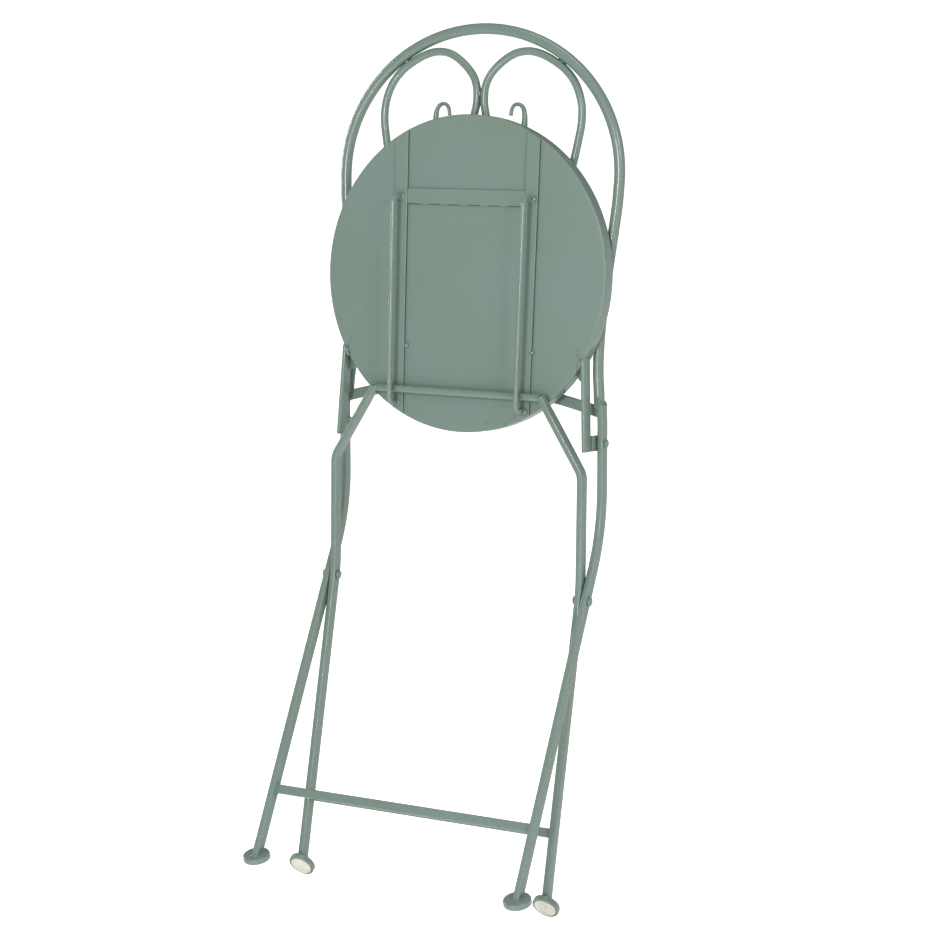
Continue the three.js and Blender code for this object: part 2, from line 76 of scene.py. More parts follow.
SEAT_R = 190.0
SEAT_Y, SEAT_Z, SEAT_TILT = -15.5, 377.1, 0.067  # centre of the seat; tilt in radians
STRAP_X, STRAP_HALF, STRAP_TOP = 88.6, 17.2 / 2, 2.1
SPLAY = 0.009                           # outward drift of a strap per millimetre up the seat
ROD_TOP, ROD_BOTTOM = 90.7, -158.8      # ends of the guide rods, up the seat
LUG_X0, LUG_X1 = 170.4, 174.7           # inner and outer face of the pivot lug

X, Y = Vector((1, 0, 0)), Vector((0, 1, 0))
LEAN_COS, LEAN_SIN = math.cos(math.radians(BACK_LEAN)), math.sin(math.radians(BACK_LEAN))
SEAT_SIN, SEAT_COS = math.sin(SEAT_TILT), math.cos(SEAT_TILT)
TURN = Matrix(((1, 0, 0), (0, LEAN_COS, LEAN_SIN), (0, -LEAN_SIN, LEAN_COS)))


def to_scene(p):
    """Back's frame in millimetres to the scene in metres."""
    return Vector((p[0] * 1e-3,
                   (p[1] * LEAN_COS + p[2] * LEAN_SIN + ORIGIN_Y) * 1e-3,
                   (-p[1] * LEAN_SIN + p[2] * LEAN_COS + ORIGIN_Z) * 1e-3))


def on_seat(x, u, n):
    """Seat frame (across, up the seat, out of its underside) to the back's frame."""
    return Vector((x, SEAT_Y + u * SEAT_SIN - n * SEAT_COS, SEAT_Z + u * SEAT_COS + n * SEAT_SIN))


def seat_direction(x, u, n):
    return on_seat(x, u, n) - on_seat(0, 0, 0)


def turned(x0, at, angle):
    """Placing function: turns about x by the angle, then moves to x0 and at = (y, z)."""
    c, s = math.cos(math.radians(angle)), math.sin(math.radians(angle))
    return lambda x, y, z: Vector((x0 + x, at[0] + y * c - z * s, at[1] + y * s + z * c))


def smooth_step(value, start, end):
    t = max(0.0, min(1.0, (value - start) / (end - start)))
    return t * t * (3 - 2 * t)


# ---------------------------------------------------------------------------
# shader helpers
# ---------------------------------------------------------------------------
def node(tree, kind, inputs=None, **settings):
    """Add a node. An input is a value, an output socket to link from, or None to leave it."""
    made = tree.nodes.new("ShaderNode" + kind)
    for key, value in settings.items():
        setattr(made, key, value)
    for key, value in (inputs or {}).items():
        if isinstance(value, bpy.types.NodeSocket):
            tree.links.new(value, made.inputs[key])
        elif value is not None:
            made.inputs[key].default_value = value
    return made


def noise_texture(tree, vector, scale, detail, roughness=0.5):
    inputs = {"Vector": vector, "Scale": scale, "Detail": detail, "Roughness": roughness}
    return node(tree, "TexNoise", inputs).outputs["Fac"]


def map_range(tree, value, source=(0.0, 1.0), target=(0.0, 1.0)):
    inputs = {"Value": value, "From Min": source[0], "From Max": source[1],
              "To Min": target[0], "To Max": target[1]}
    return node(tree, "MapRange", inputs).outputs[0]


def mix(tree, factor, a, b, blend="MIX"):
    made = node(tree, "Mix", data_type="RGBA", blend_type=blend, inputs={0: factor, 6: a, 7: b})
    return made.outputs[2]


def color_ramp(tree, factor, *stops):
    """stops: two of (position, (r, g, b))."""
    made = node(tree, "ValToRGB", {0: factor})
    for element, (position, color) in zip(made.color_ramp.elements, stops):
        element.position = position
        element.color = (*color, 1)
    return made.outputs[0]


def bump(tree, height, strength, distance, normal=None):
    inputs = {"Height": height, "Strength": strength, "Distance": distance, "Normal": normal}
    return node(tree, "Bump", inputs).outputs[0]


def occlusion(tree, distance):
    return node(tree, "AmbientOcclusion", {"Distance": distance}, samples=6).outputs["AO"]


def principled(name):
    material = bpy.data.materials.new(name)
    material.use_nodes = True
    tree = material.node_tree
    tree.nodes.clear()
    output = node(tree, "OutputMaterial")
    surface = node(tree, "BsdfPrincipled")
    tree.links.new(surface.outputs[0], output.inputs[0])
    return material, tree, surface


def finish_surface(tree, surface, linked, values):
    for key, socket in linked.items():
        tree.links.new(socket, surface.inputs[key])
    for key, value in values.items():
        surface.inputs[key].default_value = value


# ---------------------------------------------------------------------------
# materials
# ---------------------------------------------------------------------------
def painted(name, tone, grain=1.0, roughness=0.26):
    material, tree, surface = principled(name)
    spot = node(tree, "TexCoord").outputs["Object"]
    # slow drift of tone over the whole chair, and a fine mottling of the powder coat
    drift = noise_texture(tree, spot, scale=7.0, detail=3.0)
    mottle = noise_texture(tree, spot, scale=420.0, detail=3.0, roughness=0.6)
    dark = [c * 0.955 for c in tone]
    light = [c * gain for c, gain in zip(tone, (1.02, 1.03, 1.15))]
    base = color_ramp(tree, drift, (0.30, dark), (0.70, light))
    mottled = mix(tree, factor=0.06, a=base, b=mottle, blend="OVERLAY")
    # painted shade: the paint is darkened in crevices and where parts close in, where shade falls
    openness = map_range(tree, occlusion(tree, distance=0.008), source=(0.35, 0.95))
    crevice_shaded = mix(tree, factor=1.0, a=mottled, b=None, blend="MULTIPLY")
    painted_crevice_shade = mix(tree, factor=openness, a=(0.50, 0.62, 0.56, 1), b=(1, 1, 1, 1))
    tree.links.new(painted_crevice_shade, crevice_shaded.node.inputs[7])
    # edges a little lighter: rubbed paint, and partly a painted highlight along the edges
    pointiness = node(tree, "NewGeometry").outputs["Pointiness"]
    edge = map_range(tree, pointiness, source=(0.57, 0.68), target=(0.0, 0.16))
    wear = noise_texture(tree, spot, scale=130.0, detail=4.0, roughness=0.7)
    patches = map_range(tree, wear, source=(0.42, 0.62))
    rubbed_and_lit_edges = node(tree, "Math", {0: edge, 1: patches}, operation="MULTIPLY").outputs[0]
    color = mix(tree, factor=rubbed_and_lit_edges, a=crevice_shaded, b=(0.60, 0.68, 0.62, 1))
    # sheen varies with handling marks
    sheen = map_range(tree, wear, target=(roughness - 0.04, roughness + 0.05))
    # orange-peel grain of the powder coat, with a slow unevenness under it
    peel = bump(tree, mottle, strength=0.13 * grain, distance=0.0004)
    uneven = noise_texture(tree, spot, scale=38.0, detail=2.0)
    relief = bump(tree, uneven, strength=0.06, distance=0.0007, normal=peel)
    finish_surface(tree, surface,
                   {"Base Color": color, "Roughness": sheen, "Normal": relief},
                   {"Specular IOR Level": 0.5, "Coat Weight": 0.35, "Coat Roughness": 0.10})
    return material


def plastic(name):
    material, tree, surface = principled(name)
    spot = node(tree, "TexCoord").outputs["Object"]
    stains = noise_texture(tree, spot, scale=90.0, detail=4.0, roughness=0.65)
    base = color_ramp(tree, stains, (0.32, (0.74, 0.72, 0.63)), (0.60, (0.90, 0.885, 0.80)))
    # painted shade: the glide is darkened in its hollows and where it closes in under the cup
    openness = map_range(tree, occlusion(tree, distance=0.004),
                         source=(0.4, 1.0), target=(0.45, 1.0))
    color = mix(tree, factor=1.0, a=base, b=openness, blend="MULTIPLY")
    grain = noise_texture(tree, spot, scale=900.0, detail=2.0)
    # fine scratches from the floor: noise drawn out along one slanting direction
    slanted = node(tree, "Mapping", {"Vector": spot, "Scale": (60.0, 900.0, 900.0),
                                     "Rotation": (0.2, 0.3, 0.7)}).outputs[0]
    scratches = noise_texture(tree, slanted, scale=1.0, detail=3.0)
    fine = bump(tree, grain, strength=0.10, distance=0.0003)
    relief = bump(tree, scratches, strength=0.14, distance=0.0003, normal=fine)
    sheen = map_range(tree, scratches, target=(0.38, 0.58))
    finish_surface(tree, surface,
                   {"Base Color": color, "Roughness": sheen, "Normal": relief},
                   {"Subsurface Weight": 0.08, "Subsurface Radius": (0.002, 0.0015, 0.001)})
    return material


SAGE, SAGE_WELD = (0.212, 0.292, 0.238), (0.222, 0.302, 0.25)
PAINT = painted("sage_powder_coat", SAGE)
PAINT_SHEET = painted("sage_powder_coat_sheet", SAGE, grain=0.8, roughness=0.32)
PAINT_WELD = painted("sage_powder_coat_weld", SAGE_WELD, grain=1.6, roughness=0.18)
GLIDE = plastic("glide_off_white")

# ---------------------------------------------------------------------------
# mesh objects
# ---------------------------------------------------------------------------
WELD = dict(replaces=False, material=PAINT_WELD, sharp=60)
STRAP = dict(material=PAINT_SHEET, bevel=0.7, sharp=50)


def trim(bm, point, normal):
    """Cut by a plane, keep the side the normal points to and close the cut."""
    geom = bm.verts[:] + bm.edges[:] + bm.faces[:]
    bmesh.ops.bisect_plane(bm, geom=geom, dist=1e-4, plane_co=point, plane_no=normal,
                           clear_inner=True, clear_outer=False)
    edges = [edge for edge in bm.edges if edge.is_boundary]
    if edges:
        bmesh.ops.holes_fill(bm, edges=edges, sides=0)


def add_piece(name, parts, body, replaces=True, material=PAINT, slot="green_paint",
              sharp=32.0, trims=(), bevel=None, mirror=False):
    """parts: [(verts, faces)]; trims: [(point, normal)]; sharp in degrees, bevel in mm."""
    flip = -1 if mirror else 1
    bm = bmesh.new()
    for verts, faces in parts:
        made = [bm.verts.new((flip * v[0], v[1], v[2])) for v in verts]
        for face in faces:
            bm.faces.new([made[i] for i in (reversed(face) if mirror else face)])
    bm.normal_update()
    for point, normal in trims:
        trim(bm, *(Vector((flip * v.x, v.y, v.z)) for v in (point, normal)))
    bmesh.ops.remove_doubles(bm, verts=bm.verts[:], dist=1e-5)
    bmesh.ops.recalc_face_normals(bm, faces=bm.faces[:])
    for v in bm.verts:
        v.co = to_scene(v.co)
    mesh = bpy.data.meshes.new(name + "_v")
    bm.to_mesh(mesh)
    bm.free()
    for polygon in mesh.polygons:
        polygon.use_smooth = True
    mesh.set_sharp_from_angle(angle=math.radians(sharp))
    mesh.materials.append(material)
    piece = bpy.data.objects.new(name + "_v", mesh)
    bpy.context.scene.collection.objects.link(piece)
    if bevel:
        rounding = piece.modifiers.new("edge", "BEVEL")
        rounding.width = bevel * 1e-3
        rounding.segments = 3
        rounding.limit_method = "ANGLE"
        rounding.angle_limit = math.radians(40)
        rounding.harden_normals = False
    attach(piece, body)
    if replaces:
        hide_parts(name)
    return piece


def add_pair(name, build, body, **options):
    """A right-hand piece and its mirror image. build is the parts, or a function that makes
    them from the side's number (right 0, left 1), so that the sides can differ a little."""
    for number, side in enumerate(("right", "left")):
        parts = build(number) if callable(build) else build
        add_piece(f"{name}_{side}", parts, body, mirror=side == "left", **options)


# ---------------------------------------------------------------------------
# outlines and paths
# ---------------------------------------------------------------------------
def rounded_rect(width, depth, radius, steps=6):
    def outline(inset=0.0):
        r = max(radius - inset, 0.25)
        cx, cy = (width - 2 * inset) / 2 - r, (depth - 2 * inset) / 2 - r
        points = []
        for x, y, start in ((cx, cy, 0), (-cx, cy, 90), (-cx, -cy, 180), (cx, -cy, 270)):
            for i in range(steps + 1):
                a = math.radians(start + 90 * i / steps)
                points.append((x + r * math.cos(a), y + r * math.sin(a)))
        return points
    return outline


def disc(diameter, count=32):
    def outline(inset=0.0):
        r = max(diameter / 2 - inset, 0.02)
        angles = [2 * math.pi * i / count for i in range(count)]
        return [(r * math.cos(a), r * math.sin(a)) for a in angles]
    return outline


def arc(cx, cz, radius, start, end, steps=5):
    angles = [math.radians(start + (end - start) * i / steps) for i in range(steps + 1)]
    return [(cx + radius * math.cos(a), cz + radius * math.sin(a)) for a in angles]


def catmull(stations, count):
    """A centripetal curve through (x, z) stations, cut into count equal steps."""
    P = np.array([Vector((x, 0, z)) for x, z in stations], float)
    dense = []
    for i in range(len(P) - 1):
        p1, p2 = P[i], P[i + 1]
        p0 = P[i - 1] if i > 0 else 2 * P[0] - P[1]
        p3 = P[i + 2] if i + 2 < len(P) else 2 * P[-1] - P[-2]
        d0, d1, d2 = (np.sum((b - a) ** 2) ** 0.25 for a, b in ((p0, p1), (p1, p2), (p2, p3)))
        t1 = ((p1 - p0) / d0 - (p2 - p0) / (d0 + d1) + (p2 - p1) / d1) * d1
        t2 = ((p2 - p1) / d1 - (p3 - p1) / (d1 + d2) + (p3 - p2) / d2) * d1
        for w in np.linspace(0, 1, 60, endpoint=False):
            dense.append(p1 + t1 * w + (-3 * p1 + 3 * p2 - 2 * t1 - t2) * w * w
                         + (2 * p1 - 2 * p2 + t1 + t2) * w ** 3)
    dense.append(P[-1])
    dense = np.array(dense)
    length = np.concatenate([[0], np.cumsum(np.linalg.norm(np.diff(dense, axis=0), axis=1))])
    wanted = np.linspace(0, length[-1], count + 1)
    return [Vector([np.interp(s, length, dense[:, k]) for k in range(3)]) for s in wanted]


def filleted(points, radii, step, last=0):
    """A polyline with its corners rounded in steps of at most step degrees.
    The closing straight is cut into last pieces when last is given."""
    path = [points[0].copy()]
    for before, corner, after, radius in zip(points, points[1:], points[2:], radii):
        d0, d1 = (before - corner).normalized(), (after - corner).normalized()
        half = math.acos(max(-1, min(1, d0.dot(d1)))) / 2
        reach = radius / math.tan(half)
        start, end = corner + d0 * reach, corner + d1 * reach
        centre = corner + (d0 + d1).normalized() * (radius / math.sin(half))
        n = max(3, math.ceil((math.pi - 2 * half) / math.radians(step)))
        u, w = start - centre, end - centre
        angle = u.angle(w)
        for k in range(n + 1):
            t = k / n
            path.append(centre + u * (math.sin((1 - t) * angle) / math.sin(angle))
                        + w * (math.sin(t * angle) / math.sin(angle)))
    straight = path[-1]
    for k in range(1, last):
        path.append(straight.lerp(points[-1], k / last))
    path.append(points[-1].copy())
    return path


# ---------------------------------------------------------------------------
# solids, each returned as (verts, faces)
# ---------------------------------------------------------------------------
CAP_STEPS = 4  # rings in the rounding of a bar's end


def bases(points, across):
    """(along, side, face) at each point. across is a vector, or a function of the index."""
    last = len(points) - 1
    result = []
    for i, point in enumerate(points):
        before, after = points[max(i - 1, 0)], points[min(i + 1, last)]
        if 0 < i < last:
            along = ((point - before).normalized() + (after - point).normalized()).normalized()
        else:
            along = (after - before).normalized()
        face = along.cross(across(i) if callable(across) else across).normalized()
        result.append((along, face.cross(along).normalized(), face))
    return result


def sweep(outline, points, across, scale=lambda t: 1.0, r0=0.8, r1=0.8, flatten=lambda p: 1.0):
    """A bar along points, its ends rounded by r0 and r1. scale(t) sizes the section from
    end to end, and flatten(point) squeezes it in the face direction."""
    frames = bases(points, across)
    last = len(points) - 1

    def ring(i, advance, inset):
        along, side, face = frames[i]
        centre = points[i] + along * advance
        k, deep = scale(i / last), flatten(points[i])
        return [centre + side * (a * k) + face * (b * k * deep) for a, b in outline(inset)]

    def cap(radius):
        angles = [math.pi / 2 * j / CAP_STEPS for j in range(CAP_STEPS)]
        return [(radius * (1 - math.cos(a)), radius * (1 - math.sin(a))) for a in angles]

    rings = [ring(0, advance, inset) for advance, inset in cap(r0)] + [ring(0, r0, 0)]
    rings += [ring(i, 0, 0) for i in range(1, last)] + [ring(last, -r1, 0)]
    rings += [ring(last, -advance, inset) for advance, inset in reversed(cap(r1))]
    m = len(rings[0])
    faces = []
    for i in range(len(rings) - 1):
        for j in range(m):
            a, b = i * m + j, i * m + (j + 1) % m
            faces.append((a, b, b + m, a + m))
    faces.append(tuple(reversed(range(m))))
    end = (len(rings) - 1) * m
    faces.append(tuple(range(end, end + m)))
    return [v for r in rings for v in r], faces


def lathe(profile, n, place):
    """profile [(radius, z)] runs from axis to axis; place(x, y, z) gives the point."""
    verts, faces, rows = [], [], []
    for r, z in profile:
        if r < 1e-6:
            rows.append([len(verts)])
            verts.append(place(0, 0, z))
        else:
            rows.append(list(range(len(verts), len(verts) + n)))
            angles = [2 * math.pi * i / n for i in range(n)]
            verts += [place(r * math.cos(a), r * math.sin(a), z) for a in angles]
    for a, b in zip(rows, rows[1:]):
        for i in range(n):
            j = (i + 1) % n
            if len(a) == 1:
                faces.append((a[0], b[j], b[i]))
            elif len(b) == 1:
                faces.append((a[i], a[j], b[0]))
            else:
                faces.append((a[i], a[j], b[j], b[i]))
    return verts, faces


def seat_plate(outline, n0, n1):
    """A plate in the seat frame with an (x, u) outline, from n0 to n1."""
    m = len(outline)
    verts = [on_seat(x, u, n) for n in (n0, n1) for x, u in outline]
    faces = [tuple(reversed(range(m))), tuple(range(m, 2 * m))]
    faces += [(i, (i + 1) % m, (i + 1) % m + m, i + m) for i in range(m)]
    return verts, faces


def bead(points, radius, seed, normal, closed=False, pitch=2.6, squash=0.75):
    """A weld bead: overlapping puddles along a line, uneven in width."""
    corners = points + points[:1] if closed else points
    reached = [0.0]
    for a, b in zip(corners, corners[1:]):
        reached.append(reached[-1] + (b - a).length)
    total = reached[-1]
    n = max(6, int(total / 0.55))
    path, k = [], 0
    for i in range(n + 1):
        s = total * i / n
        while k < len(corners) - 2 and reached[k + 1] < s:
            k += 1
        w = (s - reached[k]) / max(reached[k + 1] - reached[k], 1e-9)
        path.append(corners[k].lerp(corners[k + 1], w))
    normal = Vector(normal)
    sides = 12
    verts, faces = [], []
    rows = n if closed else n + 1
    for i in range(rows):
        if closed:
            tangent = (path[(i + 1) % rows] - path[(i - 1) % rows]).normalized()
        else:
            tangent = (path[min(i + 1, rows - 1)] - path[max(i - 1, 0)]).normalized()
        steep = abs(tangent.dot(normal.normalized())) >= 0.95
        face = tangent.cross(Vector((1, 0.1, 0.1)) if steep else normal).normalized()
        side = face.cross(tangent).normalized()
        along = total * i / n
        ripple = 0.90 + 0.13 * abs(math.sin(math.pi * along / pitch + seed))
        ripple *= 1.0 + 0.16 * noise.noise(Vector((along * 0.22, seed * 3.1, 0.3)))
        if not closed:
            from_end = min(i, rows - 1 - i) * total / n
            x = min(1.0, from_end / (radius * 0.95))
            ripple *= math.sqrt(max(0.03, 1 - (1 - x) ** 2))
        wander = noise.noise(Vector((along * 0.35, seed * 1.7, 9.0)))
        offset = side * (0.10 * radius * wander)
        for j in range(sides):
            a = 2 * math.pi * j / sides
            rough = 1 + 0.06 * noise.noise(Vector((along * 0.8, j * 0.9, seed)))
            verts.append(path[i] + offset
                         + side * (radius * squash * ripple * rough * math.sin(a))
                         + face * (radius * ripple * rough * math.cos(a)))
    for i in range(rows if closed else rows - 1):
        here, there = i * sides, (i + 1) % rows * sides
        for j in range(sides):
            k = (j + 1) % sides
            faces.append((here + j, here + k, there + k, there + j))
    if not closed:
        faces.append(tuple(reversed(range(sides))))
        faces.append(tuple(range((rows - 1) * sides, rows * sides)))
    return verts, faces


def blob(centre, radius, seed, stretch=(1, 1, 1), rows=10):
    """A drop of weld metal."""
    verts, faces = [], []
    columns = rows * 2
    shift = Vector((seed * 2.3, seed, -seed))
    for i in range(rows + 1):
        polar = math.pi * i / rows
        for j in range(1 if i in (0, rows) else columns):
            a = 2 * math.pi * j / columns
            d = Vector((math.sin(polar) * math.cos(a), math.sin(polar) * math.sin(a),
                        math.cos(polar)))
            k = radius * (1 + 0.22 * noise.noise(d * 1.9 + shift))
            verts.append(centre + Vector([c * k * s for c, s in zip(d, stretch)]))

    def index(i, j):
        if i == 0:
            return 0
        return 1 + (i - 1) * columns + (0 if i == rows else j % columns)

    for i in range(rows):
        for j in range(columns):
            quad = (index(i, j), index(i + 1, j), index(i + 1, j + 1), index(i, j + 1))
            faces.append(tuple(dict.fromkeys(quad)))  # triangles at the poles
    return verts, faces


# ---------------------------------------------------------------------------
# leg lines
# ---------------------------------------------------------------------------
class Leg:
    """The straight line of a leg from the cross pivot down to its foot, leaning to the front.
    Distances are measured down the line; (y, z) pairs."""
    def __init__(self, name, body, x, lean, foot_distance, stretcher_distance, foot_tilt):
        self.name, self.body, self.x, self.lean = name, body, x, lean
        self.foot_distance, self.foot_tilt = foot_distance, foot_tilt
        self.down = (-math.sin(math.radians(lean)), -math.cos(math.radians(lean)))
        self.stretcher = self.at(stretcher_distance)
        a = math.radians(foot_tilt)
        self.foot_axis = Vector((0, -math.sin(a), math.cos(a)))
        y, z = self.at(foot_distance)
        self.foot = (y + 4 * math.sin(a), z - 4 * math.cos(a))

    def at(self, distance):
        return PIVOT[0] + self.down[0] * distance, PIVOT[1] + self.down[1] * distance

    def on_foot_axis(self, height):
        return Vector((self.x, *self.foot)) + self.foot_axis * height

    def foot_trim(self):
        """Ends the leg tube a little inside the top of its cup."""
        return self.on_foot_axis(CUP_TOP - 1.2), self.foot_axis


FRONT = Leg("front", "back_frame", FRONT_X, lean=27.7, foot_distance=361.0,
            stretcher_distance=276.0, foot_tilt=BACK_LEAN)
REAR = Leg("rear", "rear_legs", REAR_X, lean=13.11, foot_distance=360.0,
           stretcher_distance=275.5, foot_tilt=BACK_LEAN - LEG_OPEN)
LEGS = (FRONT, REAR)

# ---------------------------------------------------------------------------
# back: hoop, scrolls, front legs, crossbar, stretchers
# ---------------------------------------------------------------------------
# right side of the hoop from the bottom up: (x, z)
HOOP_SIDE = ((174.6, 224.0), (172.9, 246), (171.3, 262), (170.6, 284), (171.4, 315),
             (174.6, 352), (179.3, 396), (184.6, 440), (187.3, 466), (188.4, 490))
# half ellipse over the top
HOOP_HALF_WIDTH, HOOP_RISE, HOOP_CENTRE_Z = 188.4, 172.4, 495

# right scroll from its foot on the crossbar to its curled tip: (x, z)
SCROLL = (
    (5.8, 248.6), (16, 287), (38, 336), (66, 382), (92, 424), (112, 463), (124, 499),
    (131.5, 532), (135.8, 560), (133.6, 583), (125, 603.5), (111.5, 618.8), (95.8, 629.3),
    (80.5, 636.6), (64, 640.4), (45.5, 638.2), (27, 627.6), (11, 611), (5.7, 597), (5, 587),
    (5.2, 579), (7.2, 569), (10.6, 555), (14.8, 535), (23.2, 517), (38, 508.5), (52.5, 516),
    (59.4, 532), (60.9, 550), (60.8, 566.5), (58.8, 573.4), (55.4, 577), (51, 578.3),
    (46.8, 577.2), (43.9, 573.8), (42.7, 569.6), (42.2, 564.4))


def hoop_y(z):
    return 2 + 0.08 * (z - 236)


def hoop_path():
    side = catmull(HOOP_SIDE, 78)
    path = list(side)
    for i in range(1, 150):
        a = math.pi * i / 150
        path.append(Vector((HOOP_HALF_WIDTH * math.cos(a), 0,
                            HOOP_CENTRE_Z + HOOP_RISE * math.sin(a))))
    path += [Vector((-p.x, 0, p.z)) for p in reversed(side)]
    for p in path:
        p.y = hoop_y(p.z)
    return path


def scroll_path(count=330):
    """The scroll lies in the hoop's plane and steps forward towards its curl."""
    path = catmull(SCROLL, count)
    for i, p in enumerate(path):
        forward = 3.2 * smooth_step(i / count, 0.56, 0.72)
        p.y = max(hoop_y(p.z) - forward, 4.8 + 0.03 * (p.z - 250))
    return path


def scroll_taper(t):
    if t < 0.91:
        return 1.0
    return 1 - (1 - SCROLL_TIP_D / SCROLL_D) * min(1.0, (t - 0.91) / 0.065)


def crossbar_z(x):
    return 242.8 - x ** 2 / (2 * 631)


def front_leg():
    y, z = FRONT.at(FRONT.foot_distance + 8.0)
    path = filleted([Vector((FRONT_X, y, z)), Vector((FRONT_X, 0, 79)),
                     Vector((FRONT_X, 0, 205)), Vector((FRONT_X - 1.5, 0.8, 239.0))],
                    [200, 60], step=1.4)
    return sweep(rounded_rect(LEG_W, LEG_D, LEG_R), path, X, r1=1.5)


def crossbar():
    half = FRONT_INNER + 0.9
    xs = [-half + 2 * half * i / 60 for i in range(61)]
    arch = [Vector((x, 3.0, crossbar_z(x))) for x in xs]
    return sweep(rounded_rect(6, 13, 1.5, 5), arch, Y, r0=0.3, r1=0.3)


def stretcher(leg):
    half = leg.x - LEG_W / 2 + 0.6
    path = [Vector((x, 0, 0)) for x in (-half, 0, half)]
    verts, faces = sweep(rounded_rect(6, 11, 1.5, 5), path, Y, r0=0.3, r1=0.3)
    place = turned(0, leg.stretcher, -leg.lean)
    return [place(*v) for v in verts], faces


HOOP_PATH, SCROLL_PATH = hoop_path(), scroll_path()
add_piece("back_hoop", [sweep(disc(HOOP_D, 40), HOOP_PATH, Y, r0=1.2, r1=1.2)], "back_frame")
add_pair("scroll", [sweep(disc(SCROLL_D, 28), SCROLL_PATH, Y, scale=scroll_taper,
                          r0=1.0, r1=1.2)], "back_frame")
add_pair("front_leg", [front_leg()], "back_frame",
         trims=[FRONT.foot_trim(),
                (Vector((LEG_CUT_X, 0, LEG_CUT_Z)), Vector((-0.80, 0, -0.60)))])
add_piece("back_crossbar", [crossbar()], "back_frame")
for leg in LEGS:
    add_piece(f"{leg.name}_stretcher", [stretcher(leg)], leg.body)

# ---------------------------------------------------------------------------
# feet: a painted cup over a plastic glide; profiles are (radius, height)
# ---------------------------------------------------------------------------
CUP_PROFILE = [(0, 4.5), (13.9, 4.5), (13.9, 1.5)]
CUP_PROFILE += arc(14.2, 1.3, 0.3, 180, 270, 3) + arc(CUP_R - 0.9, 1.9, 0.9, -90, 0, 5)
CUP_PROFILE += arc(CUP_R - 1.7, CUP_TOP - 1.7, 1.7, 0, 90, 7) + [(CUP_R - 4, CUP_TOP),
                                                                 (0, CUP_TOP)]
GLIDE_PROFILE = [(0, 0.55), (1.7, 0.5), (2.3, 0.1), (2.6, 0.02), (9.2, 0.0), (9.5, 0.12),
                 (9.9, 0.12), (10.2, 0.0)]
GLIDE_PROFILE += arc(12.7, 0.9, 0.9, -90, 0, 5) + [(13.6, 4.2), (0, 4.2)]


def foot_weld(leg, seed):
    """The bead round a leg where it meets the top of its cup."""
    down, axis = Vector((0, *leg.down)), leg.foot_axis
    face = down.cross(X).normalized()
    top = leg.on_foot_axis(CUP_TOP)
    base = Vector((leg.x, *leg.at(leg.foot_distance - 30)))
    ring = []
    for a, b in rounded_rect(LEG_W + 0.5, LEG_D + 0.5, LEG_R, 4)():
        q = base + X * a + face * b
        ring.append(q + down * ((top - q).dot(axis) / down.dot(axis)))
    return bead(ring, 1.35, seed, axis, closed=True, pitch=3.2)


for leg in LEGS:
    place = turned(leg.x, leg.foot, leg.foot_tilt)
    add_pair(f"{leg.name}_foot_cup", [lathe(CUP_PROFILE, 72, place)], leg.body, sharp=40)
    add_pair(f"{leg.name}_glide", [lathe(GLIDE_PROFILE, 72, place)], leg.body,
             material=GLIDE, slot="glide_plastic", sharp=40)
for leg, seed in ((FRONT, 1.3), (REAR, 4.3)):
    add_pair(f"{leg.name}_foot_weld", lambda k: [foot_weld(leg, seed + 2 * k)], leg.body, **WELD)


# ---------------------------------------------------------------------------
# rear legs and slide bar
# ---------------------------------------------------------------------------
def rear_leg():
    """A leg that bends inwards at its top to take the slide bar."""
    y, z = REAR.at(REAR.foot_distance + 10.0)
    path = filleted([Vector((REAR_X, y, z)), Vector((REAR_X, -38.4, 11)),
                     Vector((REAR_X, -35.2, 149)), Vector((114.6, BAR_Y, 237.5))],
                    [160, 26], step=2.2, last=14)

    def across(i):
        t = (path[min(i + 1, len(path) - 1)] - path[max(i - 1, 0)]).normalized()
        return Vector((t.z, 0, -t.x)).normalized()

    # the tube is pressed a little flatter where it takes the slide bar
    return sweep(rounded_rect(LEG_W, LEG_D, LEG_R), path, across, r1=0.6,
                 flatten=lambda p: 1 - 0.28 * smooth_step(p.z, 216, 234))


add_pair("rear_leg", [rear_leg()], "rear_legs", bevel=0.5,
         trims=[REAR.foot_trim(), (Vector((115, BAR_Y, 240.2)), Vector((0, 0, -1)))])

bar_path = [Vector((-113.6 + 227.2 * i / 40, BAR_Y, BAR_Z)) for i in range(41)]
add_piece("slide_bar", [sweep(disc(8.7, 32), bar_path, Y, r0=0.6, r1=0.6)], "slide_bar")

# ---------------------------------------------------------------------------
# seat pan and underplate; profiles are (radius, n)
# ---------------------------------------------------------------------------
PAN_PROFILE = [(0, -19.5), (SEAT_R - 3.6, -19.5)] + arc(SEAT_R - 3.2, -17.8, 1.7, -90, 0, 5)
PAN_PROFILE += [(SEAT_R - 1.5, -1.9), (SEAT_R - 1.2, -1.7), (SEAT_R - 0.3, -1.7),
                (SEAT_R, -2.0), (SEAT_R, -18.0)]
PAN_PROFILE += arc(SEAT_R - 3.0, -18.0, 3.0, 0, -90, 8)
PAN_PROFILE += [(SEAT_R - 9, -21.0), (SEAT_R - 11, -20.75), (SEAT_R - 13, -20.75),
                (SEAT_R - 15, -21.0), (90, -21.0), (0, -21.0)]
UNDER_PROFILE = [(0, -1.45), (SEAT_R - 0.4, -1.45), (SEAT_R, -1.1)]
UNDER_PROFILE += arc(SEAT_R - 0.7, -0.7, 0.7, 0, 90, 4)
UNDER_PROFILE += [(SEAT_R - 6, 0.0), (140, 0.0), (90, 0.0), (40, 0.0), (0, 0.0)]

add_piece("seat_pan", [lathe(PAN_PROFILE, 224, on_seat)], "seat",
          material=PAINT_SHEET, sharp=40)
underplate = add_piece("seat_underplate", [lathe(UNDER_PROFILE, 224, on_seat)], "seat",
                       material=PAINT_SHEET, sharp=40)

